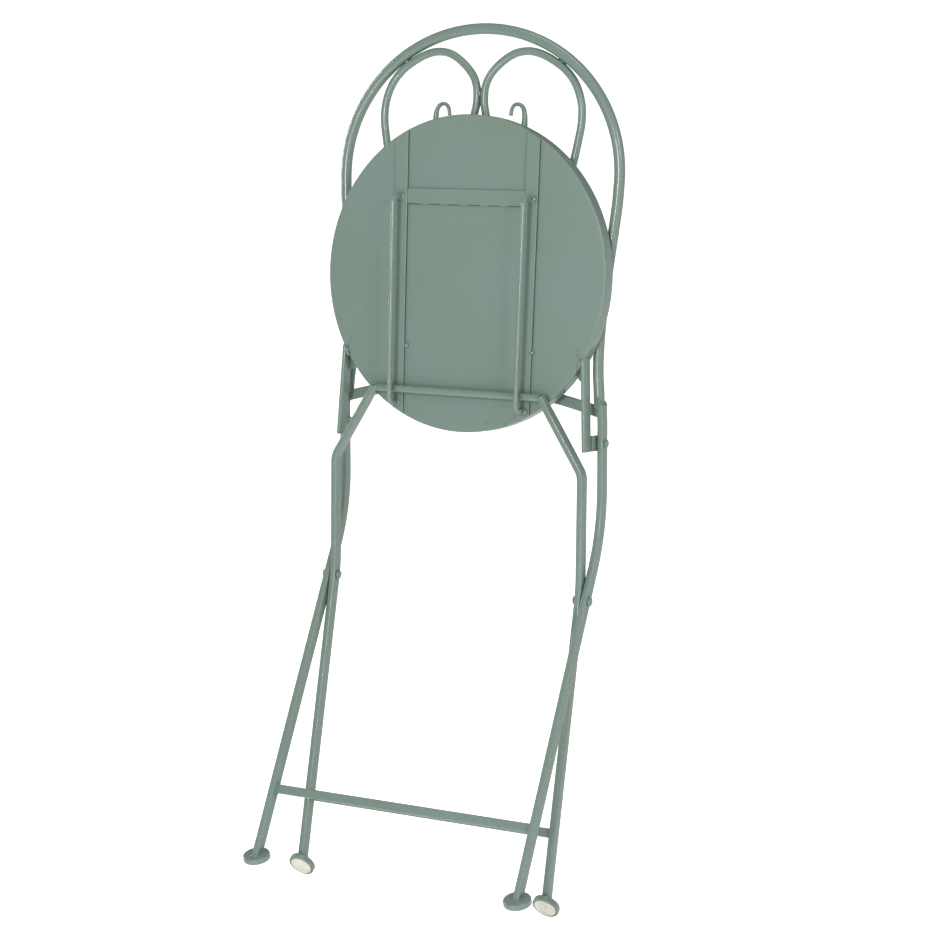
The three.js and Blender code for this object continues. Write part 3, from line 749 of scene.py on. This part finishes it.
# open joints along the left strap's inner edge and the right strap's outer edge:
# (x at the seat's centre, width, lowest u, highest u, n of the groove's floor, splay)
LEFT_EDGE, RIGHT_EDGE = -(STRAP_X - STRAP_HALF), STRAP_X + STRAP_HALF
GROOVES = [
    (LEFT_EDGE, 0.6, -84.0, 168.0, -0.95, -SPLAY),
    (LEFT_EDGE, 0.4, -170.0, -95.0, -0.8, -SPLAY),
    (RIGHT_EDGE, 0.75, -84.0, 161.0, -0.95, SPLAY),
    (RIGHT_EDGE, 0.5, -162.0, -95.0, -0.8, SPLAY)]
# a broken joint along the cross strap's lower edge, with tacks between the slits
SLIT_LENGTH = 15.5
SLIT_X = [-78.5 + 27.4 * i for i in range(6)]
GROOVES += [(x, SLIT_LENGTH, 81.25, 82.4, -0.95, 0.0) for x in SLIT_X]


def groove(x, width, u0, u1, floor, slope):
    outline = [(x + slope * u0, u0), (x + width + slope * u0, u0),
               (x + width + slope * u1, u1), (x + slope * u1, u1)]
    return seat_plate(outline, floor, 1.0)


def cut(target, name, parts):
    """Cut parts out of the target's mesh for good."""
    bm = bmesh.new()
    for verts, faces in parts:
        made = [bm.verts.new(to_scene(v)) for v in verts]
        for face in faces:
            bm.faces.new([made[i] for i in face])
    bmesh.ops.recalc_face_normals(bm, faces=bm.faces[:])
    mesh = bpy.data.meshes.new(name)
    bm.to_mesh(mesh)
    bm.free()
    cutter = bpy.data.objects.new(name, mesh)
    bpy.context.scene.collection.objects.link(cutter)
    boolean = target.modifiers.new(name, "BOOLEAN")
    boolean.object = cutter
    boolean.operation = "DIFFERENCE"
    boolean.solver = "EXACT"
    depsgraph = bpy.context.evaluated_depsgraph_get()
    result = bpy.data.meshes.new_from_object(target.evaluated_get(depsgraph))
    target.modifiers.remove(boolean)
    uncut = target.data
    target.data = result
    bpy.data.meshes.remove(uncut)
    bpy.data.objects.remove(cutter)
    bpy.data.meshes.remove(mesh)


cut(underplate, "grooves", [groove(*row) for row in GROOVES])


# ---------------------------------------------------------------------------
# straps and guide rods
# ---------------------------------------------------------------------------
def strap_x(u):
    return STRAP_X + SPLAY * u


def strap_outline():
    """A strap cut to the round edge of the seat."""
    reach = SEAT_R - 1.0
    ends = []
    for sign in (-1, 1):
        row = []
        for i in range(9):
            x = STRAP_X - STRAP_HALF + 2 * STRAP_HALF * i / 8
            u = sign * 160.0
            for _ in range(8):  # settle on the circle
                u = sign * math.sqrt(reach * reach - (x + SPLAY * u) ** 2)
            row.append((x + SPLAY * u, u))
        ends.append(row)
    return ends[0] + ends[1][::-1]


def cross_strap():
    high = 100.9
    low = high - 18.4
    x_low, x_high = (strap_x(u) - STRAP_HALF - 0.05 for u in (low, high))
    return seat_plate([(-x_low, low), (x_low, low), (x_high, high), (-x_high, high)], 0.02, 1.5)


def guide_rod():
    stations = ((ROD_TOP, 1.6), (ROD_TOP, 20), (ROD_BOTTOM, 20), (ROD_BOTTOM, 1.6))  # (u, n)
    path = filleted([on_seat(strap_x(u), u, n) for u, n in stations], [8, 8], step=5)
    return sweep(disc(6, 28), path, X, r0=0.2, r1=0.2)


add_pair("seat_strap", [seat_plate(strap_outline(), 0.02, STRAP_TOP)], "seat", **STRAP)
add_piece("seat_cross_strap", [cross_strap()], "seat", **STRAP)
add_pair("guide_rod", [guide_rod()], "seat")

# ---------------------------------------------------------------------------
# brackets: a tube from the rim down to the seat pivot, with a tab and a lug
# ---------------------------------------------------------------------------
BRACKET_W = 5.2
BRACKET_TOP, BRACKET_BOTTOM = (164.3, -91.5), (170.0, -203.0)  # (x, u)
BRACKET_N0, BRACKET_N1 = -14.0, 3.0
TAB = ((150.0, -112.0), (154.5, -119.5), (160.5, -123.0), (166.5, -122.0), (165.8, -98.0))
PIVOT_DY, PIVOT_DZ = SEAT_PIVOT[0] - SEAT_Y, SEAT_PIVOT[1] - SEAT_Z
PIVOT_U = PIVOT_DY * SEAT_SIN + PIVOT_DZ * SEAT_COS
PIVOT_N = -PIVOT_DY * SEAT_COS + PIVOT_DZ * SEAT_SIN


def bracket():
    (x0, u0), (x1, u1) = BRACKET_BOTTOM, BRACKET_TOP
    n = (BRACKET_N0 + BRACKET_N1) / 2
    path = [on_seat(x0 + (x1 - x0) * i / 12, u0 + (u1 - u0) * i / 12, n) for i in range(13)]
    outline = rounded_rect(BRACKET_W, BRACKET_N1 - BRACKET_N0, 2, 6)
    return sweep(outline, path, X, r0=0.9, r1=0.9)


def lug():
    """A flat ear, straight at the bracket and round about the pivot."""
    half = 18.5 / 2
    base = BRACKET_N0 + 0.3
    ring = [(base, -half), (base, half), (PIVOT_N, half)]  # (n, u from the pivot)
    for degrees in range(98, 270, 8):
        a = math.radians(degrees)
        ring.append((PIVOT_N + half * math.cos(a), half * math.sin(a)))
    ring.append((PIVOT_N, -half))
    m = len(ring)
    verts = [on_seat(x, PIVOT_U + du, n) for x in (LUG_X0, LUG_X1) for n, du in ring]
    faces = [tuple(range(m)), tuple(reversed(range(m, 2 * m)))]
    faces += [(i, i + m, (i + 1) % m + m, (i + 1) % m) for i in range(m)]
    return verts, faces


add_pair("seat_bracket", [bracket()], "seat",
         trims=[(on_seat(0, -91.8, 0.1), seat_direction(0, -0.55, -0.835))])
add_pair("bracket_tab", [seat_plate(TAB, -13.0, -10.4)], "seat", replaces=False,
         bevel=1.0, sharp=50)
add_pair("pivot_lug", [lug()], "seat", bevel=0.6, sharp=45)


# ---------------------------------------------------------------------------
# bolts and nuts
# ---------------------------------------------------------------------------
def hexagon(flats, x0, x1, y, z, turn, dome=0.35):
    """A hex head or nut lying along x, corners turned off at both faces."""
    n = 72
    corner = flats / math.sqrt(3)
    angles = [2 * math.pi * i / n for i in range(n)]
    verts, faces = [], []
    # (x, largest radius) of each ring
    rows = [(x0, corner - 0.95), (x0 + 0.25, corner - 0.5), (x0 + 0.6, corner + 1),
            (x1 - 0.75, corner + 1), (x1 - 0.3, corner - 0.45), (x1 - 0.06, corner - 0.95)]
    for x, limit in rows:
        for a in angles:
            b = (a + turn) % (math.pi / 3) - math.pi / 6
            r = min(flats / 2 / math.cos(b), limit)
            verts.append(Vector((x, y + r * math.cos(a), z + r * math.sin(a))))
    # crown on the outer face, plain inner face
    for size, lift in ((0.72, 0.5), (0.4, 0.85)):
        r = (corner - 0.95) * size
        x = x1 - 0.06 + dome * lift
        verts += [Vector((x, y + r * math.cos(a), z + r * math.sin(a))) for a in angles]
    last = len(verts) - n
    for k in range(0, last, n):
        for i in range(n):
            a, b = k + i, k + (i + 1) % n
            faces.append((a, b, b + n, a + n))
    verts.append(Vector((x1 - 0.06 + dome, y, z)))
    faces += [(last + i, last + (i + 1) % n, last + n) for i in range(n)]
    faces.append(tuple(reversed(range(n))))
    return verts, faces


def shank(x0, x1, y, z):
    path = [Vector((x0 + (x1 - x0) * i / 3, y, z)) for i in range(4)]
    return sweep(disc(6, 32), path, Y, r0=0.5, r1=0.2)


def add_fastener(name, centre, flats, inner, turn):
    """A bolt through the front leg, its nut inside the face at x = inner."""
    outer = FRONT_X + LEG_W / 2 + 0.1
    nut_out, nut_in = inner - 0.3, inner - 2.9
    add_pair(f"{name}_bolt",
             lambda k: [hexagon(flats, outer, outer + 2.45, *centre, turn + 0.4 * k),
                        shank(nut_in - 0.7, outer + 0.3, *centre)],
             "back_frame", sharp=28)
    add_pair(f"{name}_nut",
             lambda k: [hexagon(flats - 0.5, nut_in, nut_out, *centre, turn + 0.9 + 0.7 * k,
                                dome=0.0)],
             "back_frame", sharp=28)


add_fastener("cross_pivot", PIVOT, flats=10.0, inner=REAR_INNER, turn=0.35)
add_fastener("seat_pivot", SEAT_PIVOT, flats=9.0, inner=LUG_X0, turn=0.1)

# ---------------------------------------------------------------------------
# welds: k is the side's number and shifts the seeds
# ---------------------------------------------------------------------------
RING_ANGLES = np.linspace(0, 2 * math.pi, 14, endpoint=False)
UNDERSIDE = seat_direction(0, 0, 1)


def hoop_joint(k):
    """Bead along the slanted top of the leg, where the hoop goes into it."""
    ring = [Vector((LEG_CUT_X + a, 0.7 + b, LEG_CUT_Z - 1.33 * a))
            for a, b in rounded_rect(LEG_W - 0.2, LEG_D - 0.4, LEG_R, 4)()]
    return [bead(ring, 0.95, 0.7 + k, (0.7, 0, 0.7), closed=True, pitch=3.0)]


def crossbar_weld(k):
    x = FRONT_INNER
    z = crossbar_z(x)
    welds = []
    for y, seed, facing in ((-0.3, 2.1, -1), (6.2, 3.1, 1)):
        line = [Vector((x - 0.2, y, z - 5.6)), Vector((x - 0.4, y, z)),
                Vector((x - 0.2, y, z + 5.6))]
        welds.append(bead(line, 1.25, seed + k, (0, facing, 0)))
    line = [Vector((x - 0.2, y, z + 6.3)) for y in (-0.2, 6.0)]
    welds.append(bead(line, 1.2, 7.7 + k, (0, 0, 1)))
    return welds


def stretcher_weld(leg, seed):
    place = turned(leg.x - LEG_W / 2 - 0.2, leg.stretcher, -leg.lean)
    ring = [place(0, a, b) for a, b in rounded_rect(6.4, 11.4, 1.5, 3)()]
    return bead(ring, 1.2, seed, (1, 0, 0), closed=True, pitch=3.0)


def scroll_welds(k):
    # the lobe touches the hoop high on the outside
    _, i, j = min(((p - q).length, i, j) for i, p in enumerate(SCROLL_PATH[90:200], 90)
                  for j, q in enumerate(HOOP_PATH) if q.x > 0)
    touch = SCROLL_PATH[i].lerp(HOOP_PATH[j], 0.42)
    along = (SCROLL_PATH[i + 3] - SCROLL_PATH[i - 3]).normalized()
    welds = []
    for facing, reach, radius in ((-1, 2.6, 1.0), (1, 6.5, 1.6)):
        end, middle = Vector((0, facing * 1.6, 0)), Vector((0, facing * 1.8, 0))
        line = [touch + end - along * reach, touch + middle, touch + end + along * reach]
        welds.append(bead(line, radius, 1.0 + facing + k, (0, facing, 0), pitch=2.8))
    # the foot of the scroll stands on the crossbar
    ring = [SCROLL_PATH[0] + Vector((4.9 * math.cos(a), 4.6 * math.sin(a), 1.2))
            for a in RING_ANGLES]
    welds.append(bead(ring, 1.3, 8.1 + k, (0, 0, 1), closed=True))
    return welds


def scroll_middle_weld():
    """Front and back beads where the two scrolls meet on the centre line."""
    y = min(SCROLL_PATH, key=lambda p: abs(p.x - 5.0) + abs(p.z - 588)).y
    front = [Vector((0.1, y - 1.9, 588)), Vector((-0.1, y - 2.3, 591)),
             Vector((0.1, y - 1.9, 594))]
    back = [Vector((0.0, y + 2.3, 580)), Vector((0.0, y + 2.9, 594))]
    return [bead(front, 1.35, 0.4, (0, -1, 0)), bead(back, 1.6, 6.4, (0, 1, 0))]


def leg_top_weld(k):
    centre = Vector((110.2, BAR_Y, 236.0))
    line = ((1.6, 2.9, -3.6), (0.4, 4.3, -1.4), (0.4, 4.5, 1.2), (1.8, 3.2, 3.5))
    welds = []
    for facing, radius, seed in ((-1, 1.35, 2.2), (1, 1.2, 4.2)):
        points = [centre + Vector((x, facing * y, z)) for x, y, z in line]
        welds.append(bead(points, radius, seed + k, (0, facing, 0), pitch=2.2))
    if k:  # two spare drops on the left
        welds.append(blob(centre + Vector((2.6, -4.3, 1.0)), 1.8, 8.5, (1.2, 0.6, 0.9)))
        welds.append(blob(centre + Vector((0.2, -4.2, -1.6)), 1.3, 3.1, (1.1, 0.7, 1.0)))
    return welds


def rod_welds(k):
    welds = []
    for u, seed in ((ROD_TOP, 1.1), (ROD_BOTTOM, 3.7)):
        ring = [on_seat(strap_x(u) + 3.3 * math.cos(a), u + 3.3 * math.sin(a), 2.5)
                for a in RING_ANGLES]
        welds.append(bead(ring, 1.5, seed + k, UNDERSIDE, closed=True, pitch=2.4))
    welds.append(blob(on_seat(strap_x(ROD_TOP) + 4.4, ROD_TOP + 0.4, 3.6), 2.4, 2.0 + k,
                      (1.15, 0.8, 1.0)))
    welds.append(blob(on_seat(strap_x(ROD_BOTTOM) + 4.2, ROD_BOTTOM - 1.2, 3.6), 2.5, 6.0 + k,
                      (1.1, 0.8, 1.1)))
    return welds


def underside_tacks():
    left = [on_seat(-78.6, -87.2, 1.6), on_seat(-76.2, -90.6, 1.6), on_seat(-74.4, -86.4, 1.2)]
    right = [on_seat(94.6, -91.6, 1.9), on_seat(97.6, -89.4, 1.3), on_seat(100.0, -86.6, 1.1)]
    welds = [bead(left, 1.15, 1.2, UNDERSIDE, pitch=1.7),
             bead(right, 1.35, 2.7, UNDERSIDE, pitch=1.7),
             blob(on_seat(94.6, -88.4, 2.9), 0.9, 3.0, (1, 0.8, 1))]
    # between the slits of the cross strap
    for i, slit in enumerate(SLIT_X[:-1]):
        x = slit + SLIT_LENGTH
        line = [on_seat(x + dx, 82.2, n) for dx, n in ((0.2, 0.45), (6, 0.55), (11.7, 0.45))]
        welds.append(bead(line, 0.95, 0.3 + 1.37 * i, UNDERSIDE, pitch=2.4, squash=0.8))
    # clusters of spatter: (x, u, seed, spread)
    for x, u, seed, spread in ((-0.9, 83.0, 4, 1.5), (-113.0, 82.0, 5, 1.3),
                               (63.1, -177.3, 6, 1.6), (38.5, -176.5, 7, 1.3)):
        for j in range(5):
            a = j * 1.9 + seed
            out = spread * 1.5 * (0.4 + 0.15 * j)
            welds.append(blob(on_seat(x + out * math.cos(a), u + out * math.sin(a), 0.15),
                              0.55 + 0.09 * ((j * 7 + seed) % 4), j + seed * 2.2,
                              (1.1, 0.6, 1.0), rows=6))
    return welds


def bracket_welds(k):
    welds = []
    (x0, u0), (x1, u1) = BRACKET_TOP, BRACKET_BOTTOM
    # along the bracket's inner corner where it meets the rim
    for n, radius, seed in ((1.4, 1.6, 1.9), (-5.0, 1.5, 3.9), (-10.6, 1.5, 5.9)):
        line = []
        for u in (-96.5, -101, -106):
            rim = math.sqrt(SEAT_R ** 2 - u * u)
            inner = x0 + (x1 - x0) * (u - u0) / (u1 - u0) - BRACKET_W / 2
            line.append(on_seat(min(rim, inner) + 0.2, u, n))
        welds.append(bead(line, radius, seed + k, UNDERSIDE, pitch=2.4))
    line = [on_seat(158.5, -100.2, 0.6), on_seat(161.5, -97.4, 0.9), on_seat(164.8, -94.8, 1.2)]
    welds.append(bead(line, 1.35, 9.1 + k, UNDERSIDE, pitch=1.9))
    for j in range(7):  # spatter
        spot = on_seat(160.2 - 1.3 * (j % 3) - 0.5 * j, -93.5 + 2.4 * j - 3.2 * (j % 2), 0.25)
        welds.append(blob(spot, 0.6 + 0.12 * (j % 3), j * 1.3 + k, (1, 0.6, 1), rows=6))
    # the lug on the back of the bracket
    n = BRACKET_N0 + 0.1
    for du, facing in ((-8.6, -1), (8.6, 1)):
        line = [on_seat(x, PIVOT_U + du, n) for x in (170.1, 174.4)]
        welds.append(bead(line, 1.1, du + k, (0, 0, facing)))
    line = [on_seat(170.2, PIVOT_U + du, n) for du in (-8.4, 8.4)]
    welds.append(bead(line, 1.0, 4.4 + k, (-1, 0, 0)))
    return welds


add_pair("hoop_joint_weld", hoop_joint, "back_frame", **WELD)
add_pair("crossbar_weld", crossbar_weld, "back_frame", **WELD)
for leg, seed in ((FRONT, 3.3), (REAR, 5.3)):
    add_pair(f"{leg.name}_stretcher_weld", lambda k: [stretcher_weld(leg, seed + k)],
             leg.body, **WELD)
add_pair("scroll_weld", scroll_welds, "back_frame", **WELD)
add_piece("scroll_middle_weld", scroll_middle_weld(), "back_frame", **WELD)
add_pair("leg_top_weld", leg_top_weld, "rear_legs", **WELD)
add_pair("guide_rod_weld", rod_welds, "seat", **WELD)
add_piece("underside_tacks", underside_tacks(), "seat", **WELD)
add_pair("bracket_weld", bracket_welds, "seat", **WELD)


# ---------------------------------------------------------------------------
# stage, in metres
# ---------------------------------------------------------------------------
def add_floor(half=14):
    mesh = bpy.data.meshes.new("floor")
    corners = [(-half, -half, 0), (half, -half, 0), (half, half, 0), (-half, half, 0)]
    mesh.from_pydata(corners, [], [(0, 1, 2, 3)])
    floor = bpy.data.objects.new("floor", mesh)
    bpy.context.scene.collection.objects.link(floor)
    material = bpy.data.materials.new("floor_pale")
    material.use_nodes = True
    tree = material.node_tree
    # near white to the camera without throwing more light up at the chair
    camera_ray = node(tree, "LightPath").outputs["Is Camera Ray"]
    glow = map_range(tree, camera_ray, target=(0.16, 0.86))
    finish_surface(tree, tree.nodes["Principled BSDF"], {"Emission Strength": glow},
                   {"Base Color": (0.93, 0.93, 0.93, 1), "Roughness": 0.8,
                    "Specular IOR Level": 0.1, "Emission Color": (1, 1, 1, 1)})
    mesh.materials.append(material)
    floor.location.z = CAD_BOX[0][2] - 0.0005


def set_world():
    """An even room, white to the camera and dimmer in reflections, so that the painted
    tubes keep dark flanks."""
    world = bpy.context.scene.world or bpy.data.worlds.new("world")
    bpy.context.scene.world = world
    world.use_nodes = True
    tree = world.node_tree
    background = tree.nodes.get("Background")
    background.inputs[0].default_value = (1.0, 1.0, 1.0, 1)
    rays = node(tree, "LightPath").outputs
    dimmed = map_range(tree, rays["Is Glossy Ray"], target=(0.355, 0.13))
    seen = node(tree, "Math", {0: dimmed, 1: rays["Is Camera Ray"]}, operation="MAXIMUM")
    tree.links.new(seen.outputs[0], background.inputs[1])


WARM, WHITE = (1.0, 0.985, 0.965), (1, 1, 1)
LIGHT_TARGET = Vector((0, 0, 0.5))


def add_light(name, location, size, watts, height=None, color=WARM, specular=1.0):
    light = bpy.data.lights.new(name, "AREA")
    light.energy = watts
    light.size = size
    if height:
        light.shape = "RECTANGLE"
        light.size_y = height
    light.color = color
    light.specular_factor = specular
    lamp = bpy.data.objects.new(name, light)
    lamp.location = location
    aim = LIGHT_TARGET - Vector(location)
    lamp.rotation_euler = aim.to_track_quat("-Z", "Y").to_euler()
    bpy.context.scene.collection.objects.link(lamp)
    return lamp


def add_camera():
    data = bpy.data.cameras.new("camera")
    data.sensor_width = 36.0
    data.lens = 100.9976949
    data.clip_end = 60
    camera = bpy.data.objects.new("camera", data)
    bpy.context.scene.collection.objects.link(camera)
    # axes and place in the back's frame
    right = TURN @ Vector((0.86967681, 0.49361805, -0.00186079))
    up = TURN @ Vector((-0.07307649, 0.13247551, 0.98848878))
    forward = TURN @ Vector((-0.48818241, 0.85952979, -0.15128275))
    pose = Matrix.Identity(4)
    for i in range(3):
        pose[i][0], pose[i][1], pose[i][2] = right[i], up[i], -forward[i]
    pose.translation = to_scene((1574.04, -2767.49, 622.43))
    camera.matrix_world = pose
    bpy.context.scene.camera = camera


add_floor()
set_world()
add_light("key", (0.45, -3.3, 2.35), size=0.8, watts=45.5)
add_light("strip", (0.25, -3.5, 1.0), size=0.10, watts=15, height=2.2)
add_light("strip_right", (2.7, -1.55, 1.0), size=0.16, watts=7, height=2.0)
add_light("top", (0.2, 0.5, 3.4), size=1.6, watts=13, color=WHITE, specular=0.5)
add_light("right_top", (2.7, -0.9, 2.3), size=0.9, watts=16, specular=0.35)
add_light("rim_left", (-3.0, 0.4, 1.4), size=0.35, watts=10, height=1.8, color=WHITE)
# Narrow lights seen only in reflections, which draw the bright lines along
# the tubes and the rounded edges of the legs.
for name, location, watts in (("gloss_front", (0.25, -3.52, 1.0), 26),
                              ("gloss_left", (-3.0, 0.35, 1.4), 22)):
    add_light(name, location, size=0.07, watts=watts, height=2.2).visible_diffuse = False
add_camera()
bpy.context.scene.view_settings.view_transform = "Standard"
bpy.context.scene.view_settings.look = "None"
